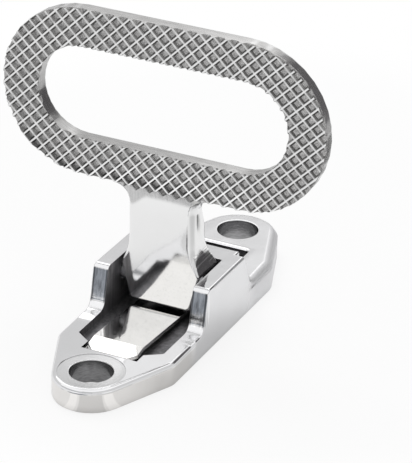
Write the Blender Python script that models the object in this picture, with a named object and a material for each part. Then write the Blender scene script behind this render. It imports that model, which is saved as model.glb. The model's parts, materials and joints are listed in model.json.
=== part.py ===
"""Folding trailer step.

A polished stainless base casting carries two ears. Between them a cast arm with an oval tread
loop turns on a plain pin. A leaf spring lies in the base's pocket, under the toe of the arm.

Frame: X across, Y along the base with the rear boss at +Y, Z up from the mounting face, metres.
The origin is the middle of the base's outline on its mounting face. The arm stands upright,
open for use, and folds forwards over the front tab.
"""

import math

import bmesh
import bpy
from mathutils import Matrix, Vector

MM = 0.001

# Clearances
SEAT_GAP = 0.3 * MM
HUB_SIDE_CLEARANCE = 1.1 * MM
FOLD_CLEARANCE = 1.6 * MM

# Bolt holes
BOLT_SPACING = 100.0 * MM
BOLT_HOLE_RADIUS = 6.5 * MM
BOLT_RIM_ROUND = 0.5 * MM
SPOT_FACE_RADIUS = 10.2 * MM
SPOT_FACE_DEPTH = 0.2 * MM

# Base plan
EAR_THICKNESS = 5.1 * MM
SIDE_HALF_LENGTH = 33.0 * MM
SIDE_CORNER_RADIUS = 7.0 * MM
TAB_END_WALL = 5.2 * MM
BOSS_END_WALL = 6.4 * MM

# Base heights
TAB_HEIGHT = 8.0 * MM
BOSS_HEIGHT = 9.8 * MM
EAR_TOP_WALL = 2.5 * MM
FLANGE_HEIGHT = 7.4 * MM
TAB_WALL_MIDDLE = 4.6 * MM
FLANGE_LEDGE = 0.6 * MM
FLANGE_SLOPE = 0.4 * MM
BOTTOM_EDGE_ROUND = 0.8 * MM
TAB_EDGE_ROUND = 1.2 * MM
EAR_EDGE_ROUND = 0.6 * MM
BOSS_EDGE_ROUND = 1.9 * MM
BOSS_EDGE_WIDTH = 2.4 * MM
EDGE_BLEND_RUN = 8.0 * MM
LEDGE_BLEND_RUN = 14.0 * MM

# Ears and the bridge that stops the arm
EAR_FRONT_REACH = 11.1 * MM
EAR_FRONT_RAKE = 2.8 * MM
EAR_TOP_ROUND = 1.8 * MM
EAR_FOOT_ROUND = 3.4 * MM
EAR_REAR_REACH = 14.1 * MM
EAR_REAR_RUN = 6.0 * MM
EAR_REAR_TOP_ROUND = 0.8 * MM
EAR_REAR_ROUND = 6.0 * MM
BRIDGE_THICKNESS = 7.6 * MM
BRIDGE_SIDE_STEP = 3.0 * MM
BRIDGE_ROOT = 2.0 * MM

# Pivot
PIVOT_FROM_BOLT = 49.1 * MM
PIN_RADIUS = 3.0 * MM
PIN_CHAMFER = 0.5 * MM
PIN_BLIND_WALL = 1.7 * MM

# Arm hub and toe, measured from the pivot axis
HUB_HALF_WIDTH = 13.2 * MM
HUB_REAR_RADIUS = 8.8 * MM
HUB_EDGE_ROUND = 0.7 * MM
HUB_BOTTOM_FLAT = 0.02 * MM
TOE_REACH = 4.8 * MM
TOE_DROP = 6.7 * MM
TOE_ROUND = 0.8 * MM
TOE_SIDE_ROUND = 1.3 * MM
TOE_HALF_WIDTH = 10.2 * MM
HUB_FLAT_RISE = 2.9 * MM
SHOULDER_RISE = 5.2 * MM
SHOULDER_RUN = 13.0 * MM
SHOULDER_POWER = 3.6

# Arm neck
NECK_HALF_WIDTH = 11.2 * MM
NECK_RECESS = 0.7 * MM
NECK_LIP_RISE = 3.4 * MM
NECK_LIP_LAND = 0.1 * MM
NECK_THICKNESS = 9.5 * MM
NECK_EDGE_ROUND = 2.4 * MM
NECK_FLARE_RADIUS = 6.4 * MM
FLARE_REACH_SHARE = 0.985
NECK_SETTLE_RISE = 17.4 * MM
NECK_TAPER_LENGTH = 12.0 * MM
NECK_TAPER_POWER = 1.25
NECK_TO_LOOP_INSET = 0.3 * MM

# Tread loop
TREAD_OFFSET = 6.0 * MM
LOOP_CENTRE_RISE = 58.75 * MM
LOOP_STRAIGHT_HALF = 26.35 * MM
LOOP_INNER_RADIUS = 14.8 * MM
LOOP_BAR_WIDTH = 12.1 * MM
LOOP_THICKNESS = 5.7 * MM
LOOP_REAR_ROUND = 1.5 * MM

# Tread pattern
PIT_PITCH = 3.18 * MM
PIT_RIDGE = 0.45 * MM
PIT_SLOPE_RUN = 0.55 * MM
PIT_DEPTH = 0.85 * MM
PIT_ROW_SHIFT = 0.76 * MM
PIT_LEAST_BITE = 0.35 * MM
PIT_OVERRUN = 0.3 * MM

# Leaf spring
LEAF_THICKNESS = 1.2 * MM
LEAF_HALF_WIDTH = 8.2 * MM
LEAF_RISE = 1.3 * MM
LEAF_BEND_RADIUS = 1.6 * MM
LIP_RUN = 6.1 * MM
LIP_DROP = 1.4 * MM
LIP_CORNER_CUT = 2.4 * MM

# Pockets in the base
SLOT_LAND = 0.8 * MM
LIP_SLOT_LENGTH = 4.4 * MM
LIP_SLOT_SIDE = 1.1 * MM
POCKET_CHAMFER = 4.8 * MM
POCKET_CHAMFER_RUN = 3.4 * MM
POCKET_CORNER_ROUND = 1.2 * MM
REAR_POCKET_HALF_WIDTH = 9.4 * MM
REAR_POCKET_WALL = 4.9 * MM
REAR_POCKET_FLOOR = 3.0 * MM
REAR_POCKET_LEDGE = 2.0 * MM
REAR_POCKET_RIM_ROUND = 0.9 * MM

# Fineness of round shapes
ARC_STEP = math.radians(10.0)
QUARTER_SHARES = (0.0, 0.25, 0.5, 0.75, 1.0)
SHOULDER_SHARES = (0.04, 0.1, 0.17, 0.26, 0.37, 0.52, 0.72, 1.0)
SHARP_ANGLE = math.radians(28.0)
MERGE_DISTANCE = 0.0005 * MM
CUT_OVERRUN = 1.0 * MM
HOLE_SEGMENTS = 48
PIN_SEGMENTS = 40

# Values that follow from the driving dimensions
SLOT_HALF_WIDTH = HUB_HALF_WIDTH + HUB_SIDE_CLEARANCE
BASE_HALF_WIDTH = SLOT_HALF_WIDTH + EAR_THICKNESS
TAB_END_RADIUS = BOLT_HOLE_RADIUS + TAB_END_WALL
BOSS_END_RADIUS = BOLT_HOLE_RADIUS + BOSS_END_WALL
BASE_LENGTH = BOLT_SPACING + TAB_END_RADIUS + BOSS_END_RADIUS
FRONT_BOLT_Y = TAB_END_RADIUS - BASE_LENGTH / 2
REAR_BOLT_Y = FRONT_BOLT_Y + BOLT_SPACING
SIDE_MIDDLE_Y = (FRONT_BOLT_Y + REAR_BOLT_Y) / 2
PIVOT_Y = FRONT_BOLT_Y + PIVOT_FROM_BOLT
PIVOT_Z = TAB_HEIGHT + FOLD_CLEARANCE + TREAD_OFFSET
PIVOT = Vector((0.0, PIVOT_Y, PIVOT_Z))
BORE_RADIUS = PIN_RADIUS + SEAT_GAP
EAR_HEIGHT = PIVOT_Z + BORE_RADIUS + EAR_TOP_WALL
TREAD_Y = PIVOT_Y - TREAD_OFFSET
NECK_FRONT_Y = TREAD_Y + NECK_RECESS
NECK_REAR_Y = NECK_FRONT_Y + NECK_THICKNESS
LOOP_CENTRE_Z = PIVOT_Z + LOOP_CENTRE_RISE
LOOP_OUTER_RADIUS = LOOP_INNER_RADIUS + LOOP_BAR_WIDTH
LOOP_BOTTOM_Z = LOOP_CENTRE_Z - LOOP_OUTER_RADIUS
TOE_Y = PIVOT_Y - TOE_REACH
TOE_Z = PIVOT_Z - TOE_DROP
TOE_RADIUS = math.hypot(TOE_REACH - TOE_ROUND, TOE_DROP - TOE_ROUND) + TOE_ROUND
SHOULDER_Z = PIVOT_Z + SHOULDER_RISE
NECK_LIP_Z = LOOP_BOTTOM_Z - NECK_LIP_RISE
BRIDGE_FRONT_Y = PIVOT_Y + HUB_REAR_RADIUS + SEAT_GAP
BRIDGE_REAR_Y = BRIDGE_FRONT_Y + BRIDGE_THICKNESS
LIP_SLOT_FRONT_Y = FRONT_BOLT_Y + SPOT_FACE_RADIUS + SLOT_LAND
POCKET_FRONT_Y = LIP_SLOT_FRONT_Y + LIP_SLOT_LENGTH
LEAF_BEND_Y = LIP_SLOT_FRONT_Y + SEAT_GAP + LIP_RUN
LEAF_BEND_Z = TAB_HEIGHT + LEAF_RISE
LEAF_END_Y = BRIDGE_FRONT_Y - 2 * SEAT_GAP
LIP_SLOT_FLOOR_Z = LEAF_BEND_Z - LIP_DROP - LEAF_THICKNESS - SEAT_GAP


def leaf_slope():
    """Angle at which the leaf falls to the rear, so that it just clears the turning toe."""
    run = PIVOT_Y - LEAF_BEND_Y
    rise = PIVOT_Z - LEAF_BEND_Z
    distance = TOE_RADIUS + SEAT_GAP
    return math.asin(distance / math.hypot(run, rise)) - math.atan2(rise, run)


LEAF_SLOPE = leaf_slope()
LEAF_END_Z = LEAF_BEND_Z - (LEAF_END_Y - LEAF_BEND_Y) * math.tan(LEAF_SLOPE)
POCKET_FLOOR_Z = LEAF_END_Z - LEAF_THICKNESS / math.cos(LEAF_SLOPE) - SEAT_GAP


def clear_scene():
    """Remove every object of the open scene."""
    for obj in list(bpy.data.objects):
        bpy.data.objects.remove(obj, do_unlink=True)


def metal(name, colour, roughness):
    """Make a metal material of one colour and roughness."""
    material = bpy.data.materials.new(name)
    material.use_nodes = True
    shader = material.node_tree.nodes["Principled BSDF"]
    shader.inputs["Base Color"].default_value = (*colour, 1.0)
    shader.inputs["Metallic"].default_value = 1.0
    shader.inputs["Roughness"].default_value = roughness
    material.diffuse_color = (*colour, 1.0)
    return material


def blend(value, start, end):
    """Smooth step from 0 at start to 1 at end."""
    share = min(max((value - start) / (end - start), 0.0), 1.0)
    return share * share * (3.0 - 2.0 * share)


def arc_points(centre, radius, first, last):
    """Points on an arc from angle first to angle last, both ends included."""
    steps = max(1, math.ceil(abs(last - first) / ARC_STEP - 1e-9))
    angles = [first + (last - first) * i / steps for i in range(steps + 1)]
    return [(centre[0] + radius * math.cos(a), centre[1] + radius * math.sin(a)) for a in angles]


def rounded_corner(before, corner, after, radius):
    """Points of the arc that rounds one corner of a line."""
    to_before = (Vector(before) - Vector(corner)).normalized()
    to_after = (Vector(after) - Vector(corner)).normalized()
    half = to_before.angle(to_after) / 2
    setback = radius / math.tan(half)
    centre = Vector(corner) + (to_before + to_after).normalized() * (radius / math.sin(half))
    start = Vector(corner) + to_before * setback - centre
    end = Vector(corner) + to_after * setback - centre
    first = math.atan2(start.y, start.x)
    turn = (math.atan2(end.y, end.x) - first + math.pi) % math.tau - math.pi
    return arc_points(centre, radius, first, first + turn)


def rounded_line(points, radii):
    """Open line through the points, its inner corners rounded by the radii."""
    line = [tuple(points[0])]
    for i, radius in enumerate(radii):
        line += rounded_corner(points[i], points[i + 1], points[i + 2], radius)
    return line + [tuple(points[-1])]


def rounded_polygon(points, radius):
    """Closed outline through the points, every corner rounded by one radius."""
    count = len(points)
    outline = []
    for i in range(count):
        outline += rounded_corner(points[i - 1], points[i], points[(i + 1) % count], radius)
    return outline


def height_on(line, y):
    """Height of a line of (y, z) points at one y."""
    for (y0, z0), (y1, z1) in zip(line, line[1:]):
        if y0 <= y <= y1 and y1 > y0:
            return z0 + (z1 - z0) * (y - y0) / (y1 - y0)
    return line[0][1] if y < line[0][0] else line[-1][1]


def loft(rings, closed=False):
    """Skin a list of rings with equal numbers of points, with flat end caps unless closed."""
    bm = bmesh.new()
    rows = [[bm.verts.new(point) for point in ring] for ring in rings]
    pairs = list(zip(rows, rows[1:])) + ([(rows[-1], rows[0])] if closed else [])
    for lower, upper in pairs:
        for i in range(len(lower)):
            j = (i + 1) % len(lower)
            bm.faces.new((lower[i], lower[j], upper[j], upper[i]))
    if not closed:
        bm.faces.new(rows[0][::-1])
        bm.faces.new(rows[-1])
    bmesh.ops.recalc_face_normals(bm, faces=bm.faces)
    return bm


def prism_z(outline, low, high):
    """Upright prism over an outline of (x, y) points."""
    return loft([[(x, y, z) for x, y in outline] for z in (low, high)])


def turned_z(centre, profile, segments):
    """Solid turned about an upright axis from (radius, z) points, bottom to top."""
    angles = [math.tau * i / segments for i in range(segments)]
    return loft([[(centre[0] + r * math.cos(a), centre[1] + r * math.sin(a), z) for a in angles]
                 for r, z in profile])


def turned_x(centre, profile, segments):
    """Solid turned about an axis along X from (radius, x) points, left to right."""
    angles = [math.tau * i / segments for i in range(segments)]
    return loft([[(x, centre.y + r * math.cos(a), centre.z + r * math.sin(a)) for a in angles]
                 for r, x in profile])


def add_object(name, bm, material=None):
    """Turn a bmesh into a linked object."""
    mesh = bpy.data.meshes.new(name)
    bm.to_mesh(mesh)
    bm.free()
    obj = bpy.data.objects.new(name, mesh)
    bpy.context.scene.collection.objects.link(obj)
    if material:
        mesh.materials.append(material)
    return obj


def combine(obj, bm, operation):
    """Join a shape to an object, or cut it away, and keep the result as the object's mesh."""
    tool = add_object("tool", bm)
    modifier = obj.modifiers.new("combine", "BOOLEAN")
    modifier.operation = operation
    modifier.solver = "EXACT"
    modifier.object = tool
    bpy.context.view_layer.update()
    result = bpy.data.meshes.new_from_object(obj.evaluated_get(bpy.context.evaluated_depsgraph_get()))
    obj.modifiers.clear()
    old = obj.data
    obj.data = result
    result.name = obj.name
    bpy.data.meshes.remove(old)
    bpy.data.objects.remove(tool, do_unlink=True)


def finish(obj, material, origin=None):
    """Clean the mesh, give it its material, shade round faces smooth and set the origin."""
    mesh = obj.data
    bm = bmesh.new()
    bm.from_mesh(mesh)
    bmesh.ops.remove_doubles(bm, verts=bm.verts, dist=MERGE_DISTANCE)
    bmesh.ops.dissolve_degenerate(bm, edges=bm.edges, dist=MERGE_DISTANCE)
    bm.to_mesh(mesh)
    bm.free()
    mesh.materials.clear()
    mesh.materials.append(material)
    mesh.shade_smooth()
    mesh.set_sharp_from_angle(angle=SHARP_ANGLE)
    if origin is not None:
        mesh.transform(Matrix.Translation(-origin))
        obj.location = origin
    return obj


def belt_normal(first, second):
    """Angle of the outward normal of the line that touches two circles on their +X side."""
    (centre_a, radius_a), (centre_b, radius_b) = first, second
    way = Vector(centre_b) - Vector(centre_a)
    lean = (radius_a - radius_b) / way.length
    ahead = way.normalized()
    side = Vector((ahead.y, -ahead.x))
    normal = ahead * lean + side * math.sqrt(1.0 - lean * lean)
    return math.atan2(normal.y, normal.x)


def base_side_stations(profile):
    """Stations (x, y, normal x, normal y) along the right side of the base, front to rear."""
    corner_x = BASE_HALF_WIDTH - SIDE_CORNER_RADIUS
    circles = [((0.0, FRONT_BOLT_Y), TAB_END_RADIUS),
               ((corner_x, SIDE_MIDDLE_Y - SIDE_HALF_LENGTH), SIDE_CORNER_RADIUS),
               ((corner_x, SIDE_MIDDLE_Y + SIDE_HALF_LENGTH), SIDE_CORNER_RADIUS),
               ((0.0, REAR_BOLT_Y), BOSS_END_RADIUS)]
    normals = [-math.pi / 2]
    normals += [belt_normal(a, b) for a, b in zip(circles, circles[1:])]
    normals += [math.pi / 2]
    stations = []
    for index, (centre, radius) in enumerate(circles):
        first, last = normals[index], normals[index + 1]
        directions = arc_points((0.0, 0.0), 1.0, first, last)
        for nx, ny in directions:
            stations.append((centre[0] + radius * nx, centre[1] + radius * ny, nx, ny))
        if index == 1:
            inner = [y for y, _ in profile if abs(y - SIDE_MIDDLE_Y) < SIDE_HALF_LENGTH - MM]
            stations += [(BASE_HALF_WIDTH, y, 1.0, 0.0) for y in inner]
    return stations


def base_profile():
    """Height of the base along Y: front tab, ears, rear boss."""
    end = BASE_LENGTH / 2
    ear_front = PIVOT_Y - EAR_FRONT_REACH
    ear_rear = PIVOT_Y + EAR_REAR_REACH
    corners = [(-end, TAB_HEIGHT), (ear_front - EAR_FRONT_RAKE, TAB_HEIGHT),
               (ear_front, EAR_HEIGHT), (ear_rear, EAR_HEIGHT),
               (ear_rear + EAR_REAR_RUN, BOSS_HEIGHT), (end, BOSS_HEIGHT)]
    radii = (EAR_FOOT_ROUND, EAR_TOP_ROUND, EAR_REAR_TOP_ROUND, EAR_REAR_ROUND)
    return rounded_line(corners, radii)


def base_section(y, height):
    """Rings of the base's outer wall at one station: (height, inset from the outline)."""
    front_foot = PIVOT_Y - EAR_FRONT_REACH - EAR_FRONT_RAKE
    rear_foot = PIVOT_Y + EAR_REAR_REACH + EAR_REAR_RUN
    edge = TAB_EDGE_ROUND
    edge += (EAR_EDGE_ROUND - edge) * blend(y, front_foot - EDGE_BLEND_RUN, front_foot)
    edge += (BOSS_EDGE_ROUND - edge) * blend(y, rear_foot - EDGE_BLEND_RUN, rear_foot)
    width = edge + (BOSS_EDGE_WIDTH - edge) * blend(y, rear_foot, rear_foot + EDGE_BLEND_RUN)
    ledge = FLANGE_LEDGE * blend(y, rear_foot - EAR_REAR_RUN, rear_foot - EAR_REAR_RUN + LEDGE_BLEND_RUN)
    flange = TAB_WALL_MIDDLE + (FLANGE_HEIGHT - TAB_WALL_MIDDLE) * blend(y, front_foot, PIVOT_Y)
    bottom = BOTTOM_EDGE_ROUND
    rings = [(0.0, bottom), (0.3 * bottom, 0.3 * bottom), (bottom, 0.0), (flange, 0.0),
             (flange + FLANGE_SLOPE, ledge)]
    for share in QUARTER_SHARES:
        angle = share * math.pi / 2
        rings.append((height - edge + edge * math.sin(angle), ledge + width * (1 - math.cos(angle))))
    return rings


def base_blank():
    """Outer form of the base: side walls in rings, top and underside in cross strips."""
    profile = base_profile()
    stations = base_side_stations(profile)
    bm = bmesh.new()
    sides = {1: [], -1: []}
    for x, y, nx, ny in stations:
        section = base_section(y, height_on(profile, y))
        for side in (1, -1):
            if side == -1 and abs(x) < MERGE_DISTANCE:
                sides[side].append(sides[1][-1])
                continue
            column = [bm.verts.new((side * (x - inset * nx), y - inset * ny, z))
                      for z, inset in section]
            sides[side].append(column)
    for columns in sides.values():
        for here, ahead in zip(columns, columns[1:]):
            for k in range(len(here) - 1):
                bm.faces.new((here[k], ahead[k], ahead[k + 1], here[k + 1]))
    for level in (0, -1):
        for i in range(len(stations) - 1):
            corners = [sides[1][i][level], sides[1][i + 1][level],
                       sides[-1][i + 1][level], sides[-1][i][level]]
            bm.faces.new(list(dict.fromkeys(corners)))
    bmesh.ops.recalc_face_normals(bm, faces=bm.faces)
    return bm


def bridge_block():
    """Block between the ears that the arm leans on, its top edges eased."""
    ease = EAR_EDGE_ROUND
    front = BRIDGE_FRONT_Y - CUT_OVERRUN
    levels = ((0.0, BOSS_HEIGHT - BRIDGE_ROOT), (0.0, EAR_HEIGHT - ease),
              (0.3 * ease, EAR_HEIGHT - 0.3 * ease), (ease, EAR_HEIGHT))
    rings = []
    for inset, z in levels:
        half = BASE_HALF_WIDTH - BRIDGE_SIDE_STEP - inset
        rear = BRIDGE_REAR_Y - inset
        rings.append([(-half, front, z), (half, front, z), (half, rear, z), (-half, rear, z)])
    return loft(rings)


def hinge_pocket_cut():
    """Room between the ears for the hub, running forwards into the leaf spring's pocket."""
    wide = SLOT_HALF_WIDTH
    narrow = SLOT_HALF_WIDTH - POCKET_CHAMFER
    corner_y = POCKET_FRONT_Y + POCKET_CHAMFER_RUN
    outline = [(wide, corner_y), (wide, BRIDGE_FRONT_Y), (-wide, BRIDGE_FRONT_Y), (-wide, corner_y),
               (-narrow, POCKET_FRONT_Y), (narrow, POCKET_FRONT_Y)]
    top = EAR_HEIGHT + CUT_OVERRUN
    return prism_z(rounded_polygon(outline, POCKET_CORNER_ROUND), POCKET_FLOOR_Z, top)


def lip_slot_cut():
    """Shallow slot in the front tab that the leaf's lip drops into."""
    half = LEAF_HALF_WIDTH + LIP_SLOT_SIDE
    rear = POCKET_FRONT_Y + POCKET_CORNER_ROUND
    outline = [(half, LIP_SLOT_FRONT_Y), (half, rear), (-half, rear), (-half, LIP_SLOT_FRONT_Y)]
    return prism_z(outline, LIP_SLOT_FLOOR_Z, TAB_HEIGHT + CUT_OVERRUN)


def rear_pocket_cut():
    """Lightening pocket between the bridge and the rear bolt boss."""
    rim = REAR_POCKET_RIM_ROUND
    front = BRIDGE_REAR_Y + REAR_POCKET_LEDGE
    rear = REAR_BOLT_Y - BOLT_HOLE_RADIUS - REAR_POCKET_WALL
    top = BOSS_HEIGHT
    levels = ((0.0, REAR_POCKET_FLOOR), (0.0, top - rim), (0.1 * rim, top - 0.5 * rim),
              (0.4 * rim, top - 0.13 * rim), (rim, top + 0.01 * rim), (rim, top + CUT_OVERRUN))
    rings = []
    for grow, z in levels:
        half = REAR_POCKET_HALF_WIDTH + grow
        outline = [(half, front - grow), (half, rear + grow), (-half, rear + grow), (-half, front - grow)]
        rings.append([(x, y, z) for x, y in rounded_polygon(outline, POCKET_CORNER_ROUND + grow)])
    return loft(rings)


def bolt_hole_cut(y, top):
    """Bolt hole with eased rims."""
    rim = BOLT_RIM_ROUND
    hole = BOLT_HOLE_RADIUS
    profile = [(hole + 2 * rim, -rim), (hole + rim, 0.0), (hole, rim), (hole, top - rim),
               (hole + 0.3 * rim, top - 0.3 * rim), (hole + rim, top), (hole + rim, top + rim)]
    return turned_z((0.0, y), profile, HOLE_SEGMENTS)


def spot_face_cut():
    """Faced ring for the front bolt's head."""
    low = TAB_HEIGHT - SPOT_FACE_DEPTH
    profile = [(SPOT_FACE_RADIUS, low), (SPOT_FACE_RADIUS, TAB_HEIGHT + CUT_OVERRUN)]
    return turned_z((0.0, FRONT_BOLT_Y), profile, HOLE_SEGMENTS)


def pin_bore_cut():
    """Bore for the pin: right through the left ear, blind in the right one."""
    blind_end = BASE_HALF_WIDTH - PIN_BLIND_WALL
    profile = [(BORE_RADIUS, -BASE_HALF_WIDTH - CUT_OVERRUN), (BORE_RADIUS, blind_end)]
    return turned_x(PIVOT, profile, PIN_SEGMENTS)


def build_base(material):
    """Base casting."""
    base = add_object("base_casting", base_blank())
    combine(base, bridge_block(), "UNION")
    combine(base, spot_face_cut(), "DIFFERENCE")
    for cut in (hinge_pocket_cut(), lip_slot_cut(), rear_pocket_cut(), pin_bore_cut(),
                bolt_hole_cut(FRONT_BOLT_Y, TAB_HEIGHT - SPOT_FACE_DEPTH),
                bolt_hole_cut(REAR_BOLT_Y, BOSS_HEIGHT)):
        combine(base, cut, "DIFFERENCE")
    return finish(base, material)


def toe_inset(z, radius):
    """How far the toe's rounded lower edge stands back at one height."""
    rise = min((z - TOE_Z) / TOE_ROUND, 1.0)
    return radius * (1.0 - math.sqrt(1.0 - (1.0 - rise) ** 2))


def arm_half_width(z):
    """Half width of the arm at one height: tapered hub, hollow shoulder, neck and flare."""
    flare_z = LOOP_BOTTOM_Z - NECK_FLARE_RADIUS
    if z <= SHOULDER_Z:
        share = (z - TOE_Z) / (SHOULDER_Z - TOE_Z)
        return TOE_HALF_WIDTH + (HUB_HALF_WIDTH - TOE_HALF_WIDTH) * share - toe_inset(z, TOE_SIDE_ROUND)
    if z <= flare_z:
        left = max(1.0 - (z - SHOULDER_Z) / SHOULDER_RUN, 0.0)
        return NECK_HALF_WIDTH + (HUB_HALF_WIDTH - NECK_HALF_WIDTH) * left ** SHOULDER_POWER
    reach = min(z - flare_z, NECK_FLARE_RADIUS * FLARE_REACH_SHARE)
    return NECK_HALF_WIDTH + NECK_FLARE_RADIUS - math.sqrt(NECK_FLARE_RADIUS ** 2 - reach ** 2)


def arm_front(z):
    """Front face of the arm: rounded toe, a nearly upright flat, then a hollow out to the tread."""
    flat_y = TOE_Y + (NECK_FRONT_Y - TOE_Y) * (z - TOE_Z) / (NECK_LIP_Z - TOE_Z)
    if z < NECK_LIP_Z:
        return flat_y + toe_inset(z, TOE_ROUND)
    if z <= LOOP_BOTTOM_Z:
        share = (z - NECK_LIP_Z) / NECK_LIP_RISE
        return NECK_FRONT_Y + (TREAD_Y + NECK_LIP_LAND - NECK_FRONT_Y) * share ** 2
    return NECK_FRONT_Y


def arm_rear(z):
    """Rear face of the arm: round hub, flat that meets the bridge, then the neck."""
    flat_top = PIVOT_Z + HUB_FLAT_RISE
    hub_y = PIVOT_Y + HUB_REAR_RADIUS
    loop_y = TREAD_Y + LOOP_THICKNESS - NECK_TO_LOOP_INSET
    if z < PIVOT_Z:
        share = (z - TOE_Z) / TOE_DROP
        return PIVOT_Y + HUB_REAR_RADIUS * math.sqrt(max(0.0, 1.0 - (1.0 - share) ** 2))
    if z < flat_top:
        return hub_y
    neck = hub_y + (NECK_REAR_Y - hub_y) * blend(z, flat_top, PIVOT_Z + NECK_SETTLE_RISE)
    taper_start = LOOP_BOTTOM_Z - NECK_TAPER_LENGTH
    share = min(max((z - taper_start) / NECK_TAPER_LENGTH, 0.0), 1.0)
    return neck + (loop_y - neck) * share ** NECK_TAPER_POWER


def arm_ring(z):
    """One level section of the arm: a rectangle with rounded corners."""
    half, front, rear = arm_half_width(z), arm_front(z), arm_rear(z)
    edge = HUB_EDGE_ROUND
    edge += (NECK_EDGE_ROUND - edge) * blend(z, SHOULDER_Z, SHOULDER_Z + NECK_THICKNESS)
    edge = min(edge, 0.45 * (rear - front))
    ring = []
    for cx, cy, first in ((half - edge, front + edge, -0.5), (half - edge, rear - edge, 0.0),
                          (-half + edge, rear - edge, 0.5), (-half + edge, front + edge, 1.0)):
        for share in QUARTER_SHARES:
            angle = (first + 0.5 * share) * math.pi
            ring.append((cx + edge * math.cos(angle), cy + edge * math.sin(angle), z))
    return ring


def arm_heights():
    """Levels of the arm's sections, close together where its form turns."""
    flare_z = LOOP_BOTTOM_Z - NECK_FLARE_RADIUS
    flat_top = PIVOT_Z + HUB_FLAT_RISE
    levels = [PIVOT_Z - TOE_DROP * math.cos(i * math.pi / 18) for i in range(10)]
    levels[0] += HUB_BOTTOM_FLAT
    levels += [flat_top, SHOULDER_Z]
    levels += [SHOULDER_Z + SHOULDER_RUN * share for share in SHOULDER_SHARES]
    levels += [LOOP_BOTTOM_Z - NECK_TAPER_LENGTH * share for share in (1.0, 0.75)]
    levels += [flare_z + NECK_FLARE_RADIUS * math.sin(i * math.pi / 14) for i in range(7)]
    levels += [LOOP_BOTTOM_Z, LOOP_BOTTOM_Z + 0.5 * LOOP_BAR_WIDTH]
    return levels


def loop_stations():
    """Centre line of the loop's bar with its outward normals, in the XZ plane."""
    radius = (LOOP_INNER_RADIUS + LOOP_OUTER_RADIUS) / 2
    stations = []
    for side in (1, -1):
        for nx, nz in arc_points((0.0, 0.0), side, -math.pi / 2, math.pi / 2):
            x = side * LOOP_STRAIGHT_HALF + radius * nx
            stations.append((x, LOOP_CENTRE_Z + radius * nz, nx, nz))
    return stations


def loop_bar():
    """Oval bar of the tread, flat in front and rounded behind."""
    half = LOOP_BAR_WIDTH / 2
    rear = TREAD_Y + LOOP_THICKNESS
    curve = LOOP_REAR_ROUND
    profile = [(-half, TREAD_Y), (half, TREAD_Y)]
    profile += arc_points((half - curve, rear - curve), curve, 0.0, math.pi / 2)[::3]
    profile += arc_points((-half + curve, rear - curve), curve, math.pi / 2, math.pi)[::3]
    return loft([[(x + u * nx, y, z + u * nz) for u, y in profile] for x, z, nx, nz in loop_stations()],
                closed=True)


def distance_to_loop_line(x, z):
    """Distance of a point of the tread plane from the loop's middle line."""
    along = max(abs(x) - LOOP_STRAIGHT_HALF, 0.0)
    return math.hypot(along, z - LOOP_CENTRE_Z)


def tread_pits():
    """Square pits set on their corners, in rows at 45 degrees, over the whole tread."""
    half_top = (PIT_PITCH - PIT_RIDGE) / 2
    half_floor = half_top - PIT_SLOPE_RUN
    half_over = half_top + PIT_OVERRUN * PIT_SLOPE_RUN / PIT_DEPTH
    bite = half_top * math.sqrt(2.0) - PIT_LEAST_BITE
    reach = math.ceil((LOOP_STRAIGHT_HALF + 2 * LOOP_OUTER_RADIUS) / PIT_PITCH)
    pits = bmesh.new()
    for i in range(-reach, reach + 1):
        for j in range(-reach, reach + 1):
            x = PIT_ROW_SHIFT + (i - j) * PIT_PITCH / math.sqrt(2.0)
            z = LOOP_CENTRE_Z + (i + j) * PIT_PITCH / math.sqrt(2.0)
            away = distance_to_loop_line(x, z)
            if not LOOP_INNER_RADIUS - bite < away < LOOP_OUTER_RADIUS + bite:
                continue
            rings = []
            for half, y in ((half_over, TREAD_Y - PIT_OVERRUN), (half_floor, TREAD_Y + PIT_DEPTH)):
                tip = half * math.sqrt(2.0)
                rings.append([pits.verts.new(p) for p in ((x + tip, y, z), (x, y, z + tip),
                                                         (x - tip, y, z), (x, y, z - tip))])
            pits.faces.new(rings[0])
            pits.faces.new(rings[1][::-1])
            for k in range(4):
                pits.faces.new((rings[0][k], rings[1][k], rings[1][k - 3], rings[0][k - 3]))
    bmesh.ops.recalc_face_normals(pits, faces=pits.faces)
    return pits


def build_arm(material):
    """Step arm: hub, neck and tread loop in one casting."""
    arm = add_object("step_arm", loft([arm_ring(z) for z in arm_heights()]))
    combine(arm, loop_bar(), "UNION")
    combine(arm, tread_pits(), "DIFFERENCE")
    bore = [(BORE_RADIUS, -BASE_HALF_WIDTH), (BORE_RADIUS, BASE_HALF_WIDTH)]
    combine(arm, turned_x(PIVOT, bore, PIN_SEGMENTS), "DIFFERENCE")
    return finish(arm, material, PIVOT)


def build_pin(material):
    """Pivot pin: pressed in from the left, where its end is ground flush with the ear."""
    left = -BASE_HALF_WIDTH
    right = BASE_HALF_WIDTH - PIN_BLIND_WALL - SEAT_GAP
    profile = [(PIN_RADIUS, left), (PIN_RADIUS, right - PIN_CHAMFER), (PIN_RADIUS - PIN_CHAMFER, right)]
    return finish(add_object("pivot_pin", turned_x(PIVOT, profile, PIN_SEGMENTS)), material)


def leaf_path():
    """Top line of the leaf in (y, z), from the end of the lip to the rear end."""
    lip_end = (LEAF_BEND_Y - LIP_RUN, LEAF_BEND_Z - LIP_DROP)
    bend = (LEAF_BEND_Y, LEAF_BEND_Z)
    return rounded_line([lip_end, bend, (LEAF_END_Y, LEAF_END_Z)], (LEAF_BEND_RADIUS,))


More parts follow.
